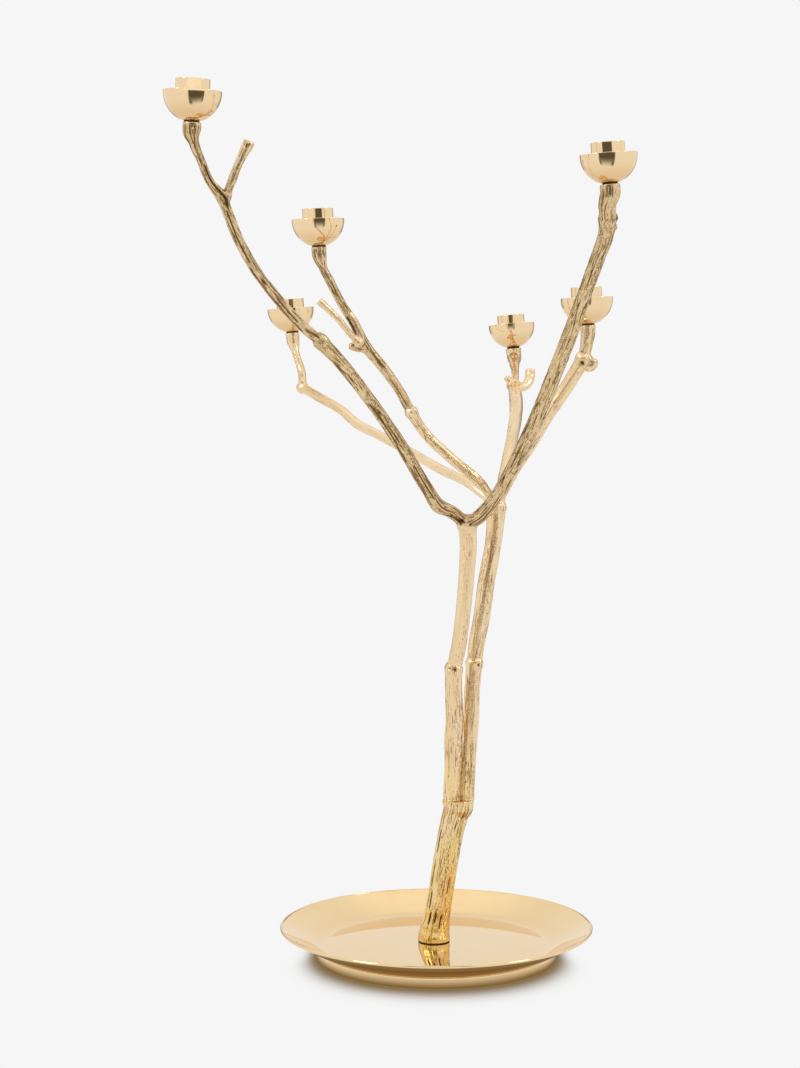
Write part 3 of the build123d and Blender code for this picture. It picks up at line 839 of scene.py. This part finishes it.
# Bumps and pits: centre, size, rise. A negative rise is a dark pit
details = {
    "trunk": [
        ((0.008, -0.0135, 0.266), 0.0016, -0.001), ((0.0105, -0.0138, 0.263), 0.0014, -0.0012),
        ((0.0135, -0.0138, 0.267), 0.0016, -0.0011), ((0.016, -0.0136, 0.262), 0.0013, -0.0009),
        ((0.0195, -0.0125, 0.266), 0.0015, -0.001), ((0.0118, -0.0135, 0.271), 0.0013, -0.0008),
        ((0.033, 0.0088, 0.268), 0.0014, -0.0009), ((0.037, 0.0092, 0.263), 0.0016, -0.001),
        ((0.0345, 0.0085, 0.275), 0.0013, -0.0008), ((0.0235, -0.0065, 0.2), 0.0016, -0.0014),
        ((0.0245, -0.006, 0.192), 0.0018, -0.0018), ((0.0235, -0.006, 0.184), 0.0016, -0.0015),
        ((0.025, -0.0055, 0.176), 0.0019, -0.0018), ((0.024, -0.0055, 0.168), 0.0017, -0.0016),
        ((0.0248, -0.0055, 0.16), 0.0015, -0.0012), ((0.008, -0.01, 0.137), 0.003, 0.0006),
    ],
    "front_stem": [
        ((0.029, -0.0225, 0.391), 0.003, 0.0008), ((0.029, -0.0238, 0.391), 0.0012, -0.001),
        ((0.0215, -0.0225, 0.384), 0.0014, -0.0006), ((0.0225, -0.0225, 0.395), 0.0013, -0.001),
        ((0.001, -0.0365, 0.404), 0.0024, 0.001), ((-0.0055, -0.042, 0.415), 0.0022, 0.0008),
        ((0.0125, -0.0275, 0.399), 0.0016, -0.0008), ((0.1405, -0.184, 0.652), 0.0026, 0.001),
    ],
    "rear_stem": [
        ((0.0505, 0.025, 0.408), 0.0018, -0.0006),
        ((0.127, -0.0015, 0.5315), 0.0024, -0.0016), ((0.08, 0.2385, 0.507), 0.0016, -0.0008),
    ],
    "front_left_limb": [
        ((-0.1505, -0.218, 0.71), 0.0013, -0.0011), ((-0.149, -0.2165, 0.711), 0.001, -0.0009),
        ((-0.153, -0.217, 0.7105), 0.001, -0.0008), ((-0.1855, -0.2345, 0.717), 0.0046, 0.0012),
        ((-0.1925, -0.24, 0.719), 0.0016, -0.0012), ((-0.1512, -0.214, 0.7065), 0.005, 0.001),
        ((-0.164, -0.2105, 0.68), 0.004, 0.0006),
    ],
    "mid_left_limb": [
        ((-0.0735, 0.0045, 0.5475), 0.0016, -0.0012), ((-0.069, 0.004, 0.546), 0.0015, -0.001),
    ],
    "front_right_limb": [((0.1265, -0.201, 0.669), 0.005, 0.0011)],
}

# Long grooves: limb, then start along the limb, length, angle round it in degrees, half width, depth.
# On an upright limb angle 0 faces right and -90 faces the front
grooves = {
    "front_left_tip": [(0.15, 0.04, -38, 0.0013, 0.0012), (0.098, 0.05, -75, 0.0008, 0.0007),
                       (0.02, 0.075, -110, 0.0008, 0.0007), (0.03, 0.03, -60, 0.0007, 0.0005)],
    "front_left_bough": [(0.045, 0.04, -70, 0.0007, 0.0006), (0.11, 0.05, -100, 0.0007, 0.0006)],
    "mid_left_tip": [(0.085, 0.018, -135, 0.002, 0.0012)],
    "lower_trunk": [(0.017, 0.01, -128, 0.0011, 0.0011), (0.02, 0.009, -100, 0.0009, 0.001),
                    (0.015, 0.012, -75, 0.0008, 0.0008), (0.03, 0.016, -140, 0.0009, 0.0008),
                    (0.05, 0.022, -150, 0.0008, 0.0008), (0.082, 0.02, -146, 0.0008, 0.0007),
                    (0.046, 0.016, -62, 0.0006, 0.0005), (0.117, 0.006, -62, 0.0005, 0.0006),
                    (0.119, 0.007, -48, 0.0005, 0.0007), (0.116, 0.008, -34, 0.0005, 0.0006),
                    (0.12, 0.005, -20, 0.0005, 0.0006), (0.105, 0.008, -80, 0.0006, 0.0005)],
}

voxel = 0.00055
seed_step, spur_seed = 0.31, 0.17    # so that no two limbs have the same bark
seeds = {name: seed_step * (i + 1) for i, name in enumerate(limbs)}
for name, (members, carried) in castings.items():
    routes = []
    for member in members:
        cut = member.endswith(("_tip", "_twig", "_stub"))
        roughness = roughness_of_bark[member]
        routes.append(Route(member, stations_of(member), roughness, seeds[member], cut))
        if member in spurs:
            seed = seeds[member] + spur_seed
            routes.append(Route("spur", np.array(spurs[member]), roughness, seed, True))
    balls = [np.array(knots[knot]) for knot in carried]
    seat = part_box("lower_trunk")[0].z if name == "trunk" else None
    skin = bark_skin(name, routes, balls, details.get(name, []), grooves, voxel, seat)
    casting = new_piece(name, skin, bark)
    belongs(casting, "tree", "bark_brass", *members)

# ---------------- the base

up, right, back = Vector((0, 0, 1)), Vector((1, 0, 0)), Vector((0, 1, 0))
tray_low, tray_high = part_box("tray")
tray_radius, rim_height = tray_high.x, tray_high.z
floor_underside = tray_low.z
floor_top, floor_radius, hub = floor_underside + 0.004, 0.104, 0.0045
floor_crown, seat_radius = 0.0022, 0.018
wall_top_radius, rim_radius = 0.1378, 0.0013
wall_bulge, cove = 0.002, 0.006      # the wall is slightly curved, and meets the floor in a cove
foot_low, foot_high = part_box("foot_ring")
foot_radius, foot_wall = foot_high.x, 0.0045
base_segments = 256


def tray_outline():
    """The dish's section: underside, flaring wall, round rim, inner wall, slightly domed floor."""
    wall_foot = np.array([floor_radius, floor_top - floor_crown])
    wall_head = np.array([wall_top_radius, rim_height - 0.0006])
    wall = []
    for t in np.linspace(1, 0, 25):
        point = wall_foot + (wall_head - wall_foot) * t
        wall.append((point[0], point[1] - wall_bulge * t * (1 - t)))
    wall = [point for point in wall if point[0] > floor_radius + cove]
    dome = []
    for r in (*np.linspace(floor_radius - cove, seat_radius + 0.004, 22), seat_radius, 0.01):
        t = max(0.0, (r - seat_radius) / (floor_radius - seat_radius))
        dome.append((r, floor_top - floor_crown * t * t))
    start, end = np.array(wall[-1]), np.array(dome[0])
    bend = []
    for t in np.linspace(0, 1, 14)[1:-1]:
        bend.append(tuple(start * (1 - t)**2 + wall_foot * 2 * t * (1 - t) + end * t * t))
    rim = arc((tray_radius - rim_radius, rim_height - rim_radius), rim_radius, -62, 118, 18)
    under = [(r, floor_underside) for r in (hub, 0.02, 0.06, 0.095, foot_radius)]
    return softened([(hub, floor_top), *under, *rim, *wall, *bend, *dome], 0.0008, 5)


tray = turned("tray_dish", tray_outline(), tray_brass, (0, 0, 0), up, right, back, base_segments)
belongs(tray, "tree", "polished_brass", "tray")

foot = turned(
    "foot_band",
    softened([(foot_radius - foot_wall, foot_high.z), (foot_radius - foot_wall, foot_low.z),
              (foot_radius, foot_low.z), (foot_radius, foot_high.z)], 0.0009, 5),
    tray_brass, (0, 0, 0), up, right, back, base_segments,
)
belongs(foot, "tree", "polished_brass", "foot_ring")

# ---------------- the cups

bore_radius, collar_radius, collar_top, bore_floor, collar_base = 0.0116, 0.0136, 0.009, -0.012, -0.014
bowl_radius, bowl_wall, bowl_drop, boss_radius = 0.023, 0.0024, 0.0013, 0.009
spigot_radius, spigot_length = 0.005, 0.002
stud_radius, stud_rise, stud_sink = 0.003, 0.006, 0.009
thread_pitch, thread_depth = 0.001, 0.0005225
stud_slack, end_bevel, bevel_length = 0.00004, 0.0007, 0.0006


def bowl_outline():
    """A half sphere with a wall, a boss inside and a hole for the stud."""
    inner = bowl_radius - bowl_wall
    flat_angle = -math.degrees(math.asin((cup_bowl_depth - bowl_drop) / bowl_radius))
    rim_angle = math.degrees(math.asin(bowl_drop / bowl_radius))
    inner_rim = math.degrees(math.asin(bowl_drop / inner))
    boss_angle = -math.degrees(math.acos(boss_radius / inner))
    hole, hole_top = stud_radius + 0.0001, stud_rise + 0.0005 - cup_bowl_depth
    return softened(
        [(0, hole_top), (hole, hole_top), (hole, -cup_bowl_depth),
         *arc((0, -bowl_drop), bowl_radius, flat_angle, rim_angle, 48),
         *arc((0, -bowl_drop), inner, inner_rim, boss_angle, 36),
         (boss_radius, collar_base), (0, collar_base)],
        0.0004, 4,
    )


def socket_outline():
    """The collar with its bore for the candle and the spigot under it."""
    return softened(
        [(0, bore_floor), (bore_radius, bore_floor), (bore_radius, collar_top), (collar_radius, collar_top),
         (collar_radius, collar_base), (spigot_radius, collar_base),
         (spigot_radius, collar_base - spigot_length), (0, collar_base - spigot_length)],
        0.00045, 4,
    )


def threaded_stud(name, cup):
    """A stud with a real helical thread, closed by a bevel at each end."""
    rim, along, side, other = (np.array(v) for v in cup_frame(cup))
    bottom, top = limb_end - stud_sink, stud_rise - cup_bowl_depth
    around, rows = 40, 10 * round((top - bottom) / thread_pitch)
    corners = []
    for row in range(rows + 1):
        height = bottom + (top - bottom) * row / rows
        bevel = min(1.0, min(height - bottom, top - height) / bevel_length)
        for k in range(around):
            turn = 2 * math.pi * k / around
            phase = (height / thread_pitch - k / around) % 1
            radius = stud_radius - stud_slack - thread_depth * (1 - abs(2 * phase - 1))
            radius = min(radius, stud_radius - end_bevel * (1 - bevel))
            outward = math.cos(turn) * side + math.sin(turn) * other
            corners.append(rim + along * height + radius * outward)
    return new_piece(name, smooth_mesh(name, corners, ring_faces(rows + 1, around)), steel)


for cup in cups:
    place = cup_frame(cup)
    bowl = turned(f"{cup}_cup_bowl", bowl_outline(), cup_brass, *place, 144)
    collar = turned(f"{cup}_cup_collar", socket_outline(), cup_brass, *place, 120)
    stud = threaded_stud(f"{cup}_threaded_stud", cup)
    belongs(bowl, f"{cup}_cup", "cup_brass", f"{cup}_bowl")
    belongs(collar, f"{cup}_cup", "cup_brass", f"{cup}_socket")
    belongs(stud, "tree", "fixing_steel", f"{cup}_stud")

# ---------------- CAD nodes that stay

kept = {"ballast_plate": iron, "felt_pad": felt, "base_washer": steel, "base_screw": steel}
kept.update({f"{cup}_washer": rubber for cup in cups})
for node, material in kept.items():
    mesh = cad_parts[node].data
    mesh.materials.clear()
    mesh.materials.append(material)

# ---------------- stage

studio_white = 0.921
shadow_tint = (0.24, 0.165, 0.075, 1)
shadow_spread, front_spread = 0.009, 0.018    # the shadow reaches further in front of the foot


def glowing_material(name):
    """An empty material, its node tree and its output's surface socket."""
    material = bpy.data.materials.new(name)
    material.use_nodes = True
    tree = material.node_tree
    tree.nodes.clear()
    return material, tree, add(tree, "OutputMaterial").inputs["Surface"]


def pale_floor():
    """A pale round floor with a soft contact shadow round the foot.

    It glows with the same white as the surroundings, and the shadow is a darker tint of it."""
    corners, faces, shadow, around = [(0, 0, 0)], [], [1.0], 128
    under_foot = np.linspace(0.05, foot_radius, 4)
    beside_foot = np.linspace(foot_radius + 0.0015, foot_radius + 0.11, 72)
    reaches = [*under_foot, *beside_foot, 0.4, 0.7, 1.3]
    for reach in reaches:
        for k in range(around):
            angle = 2 * math.pi * k / around
            corners.append((reach * math.cos(angle), reach * math.sin(angle), 0))
            spread = shadow_spread + front_spread * max(0.0, -math.sin(angle))
            shadow.append(math.exp(-(max(0.0, reach - foot_radius) / spread)**2))
    for k in range(around):
        faces.append((0, 1 + k, 1 + (k + 1) % around))
        for ring in range(len(reaches) - 1):
            a, b = 1 + ring * around + k, 1 + ring * around + (k + 1) % around
            faces.append((a, a + around, b + around, b))
    material, tree, surface = glowing_material("pale_floor")
    white = (studio_white, studio_white, studio_white, 1)
    colour = mixed(tree, attribute(tree, "contact_shadow"), white, shadow_tint)
    tree.links.new(add(tree, "Emission", color=colour, strength=1.0).outputs[0], surface)
    mesh = smooth_mesh("pale_floor", corners, faces)
    put_attribute(mesh, "contact_shadow", np.array(shadow))
    new_piece("pale_floor", mesh, material)


def card(name, centre, across, along, glow, cover):
    """A flat glowing or dim card that only reflections see. It reaches from centre by across and along,
    each both ways, and cover(u, v) says how solid it is, with u and v from -1 to 1."""
    columns, rows = 48, 32
    corners, solid = [], []
    for row in range(rows + 1):
        v = 2 * row / rows - 1
        for column in range(columns + 1):
            u = 2 * column / columns - 1
            corners.append(np.array(centre) + u * np.array(across) + v * np.array(along))
            solid.append(cover(u, v))
    faces = []
    for row in range(rows):
        for column in range(columns):
            a = row * (columns + 1) + column
            faces.append((a, a + 1, a + columns + 2, a + columns + 1))
    material, tree, surface = glowing_material(name)
    blend = add(tree, "MixShader", _0=attribute(tree, "solid"), _1=add(tree, "BsdfTransparent").outputs[0],
                _2=add(tree, "Emission", color=glow, strength=1.0).outputs[0])
    tree.links.new(blend.outputs[0], surface)
    mesh = smooth_mesh(name, corners, faces)
    put_attribute(mesh, "solid", np.array(solid, float))
    piece = new_piece(name, mesh, material)
    piece.visible_camera = piece.visible_diffuse = piece.visible_shadow = False


def gap_cover(u, v):
    """Dark at the top, clear in the middle further down, and dark longer at its sides."""
    middle = eased(v, -0.6, 0.62)
    sides = 0.92 * eased(abs(u), 0.36, 0.74) * eased(v, -0.62, -0.12)
    return float(max(middle, sides) * eased(1 - abs(u), 0.0, 0.08))


def lintel_cover(u, v):
    """Solid in the middle, fading out to both ends."""
    return float(eased(1 - abs(u), 0.0, 0.6))


def side_cover(u, v):
    """Fading in towards the back, with soft edges above and below."""
    return float(0.9 * eased(u, -1.0, 0.1) * eased(1 - abs(v), 0.0, 0.35))


def ceiling_cover(u, v):
    """Solid in the middle, fading out on all four sides."""
    return float(eased(1 - abs(u), 0.0, 0.7) * eased(1 - abs(v), 0.0, 0.7))


def soft_light(name, place, target, width, height, power):
    """A rectangular light that faces its target."""
    data = bpy.data.lights.new(name, "AREA")
    data.shape = "RECTANGLE"
    data.size, data.size_y, data.energy = width, height, power
    light = bpy.data.objects.new(name, data)
    light.location = place
    light.rotation_euler = (Vector(target) - Vector(place)).to_track_quat("-Z", "Y").to_euler()
    light.visible_camera = False
    bpy.context.scene.collection.objects.link(light)


# The surroundings are a white tent with a dark gap in front, a brighter strip over the gap,
# dimmer stretches behind on both sides and a bright ceiling
dim, half_dim = (0.105, 0.092, 0.066, 1), (0.28, 0.25, 0.2, 1)
bright, soft_bright = (1.08, 1.06, 1.04, 1), (1.06, 1.045, 1.0, 1)
gap_x, gap_y, gap_half_width, gap_half_height = 0.015, -0.66, 0.315, 0.383
pale_floor()
card("camera_gap", (gap_x, gap_y, gap_half_height), (gap_half_width, 0, 0), (0, 0, gap_half_height),
     dim, gap_cover)
card("gap_lintel", (gap_x, gap_y, 0.93), (0.7, 0, 0), (0, 0, 0.164), bright, lintel_cover)
for side_name, side_x in (("left_gap", -0.9), ("right_gap", 0.9)):
    card(side_name, (side_x, 2.0, 0.64), (0, 1.45, 0), (0, 0, 0.66), half_dim, side_cover)
card("ceiling_card", (0, 0.6, 2.2), (1.5, 0, 0), (0, 1.5, 0), soft_bright, ceiling_cover)
middle = (0, 0, 0.4)
soft_light("left_softbox", (-2.4, -1.4, 2.2), middle, width=0.8, height=0.9, power=17)
soft_light("right_softbox", (2.5, -0.8, 2.3), middle, width=0.6, height=0.9, power=11)

world = bpy.data.worlds.new("pale_studio")
world.use_nodes = True
background = world.node_tree.nodes["Background"]
background.inputs["Color"].default_value = (1, 1, 1, 1)
background.inputs["Strength"].default_value = studio_white
bpy.context.scene.world = world
bpy.context.scene.view_settings.view_transform = "Standard"

# ---------------- camera

camera_tilt = 5.19       # degrees below the horizon
camera_data = bpy.data.cameras.new("camera")
camera_data.lens = 82.75
camera_data.sensor_width = 36.0
camera_data.clip_start, camera_data.clip_end = 0.1, 50
camera = bpy.data.objects.new("camera", camera_data)
camera.location = (-0.0325, -2.159, 0.577)
camera.rotation_euler = (math.radians(90 - camera_tilt), 0, 0)
bpy.context.scene.collection.objects.link(camera)
bpy.context.scene.camera = camera
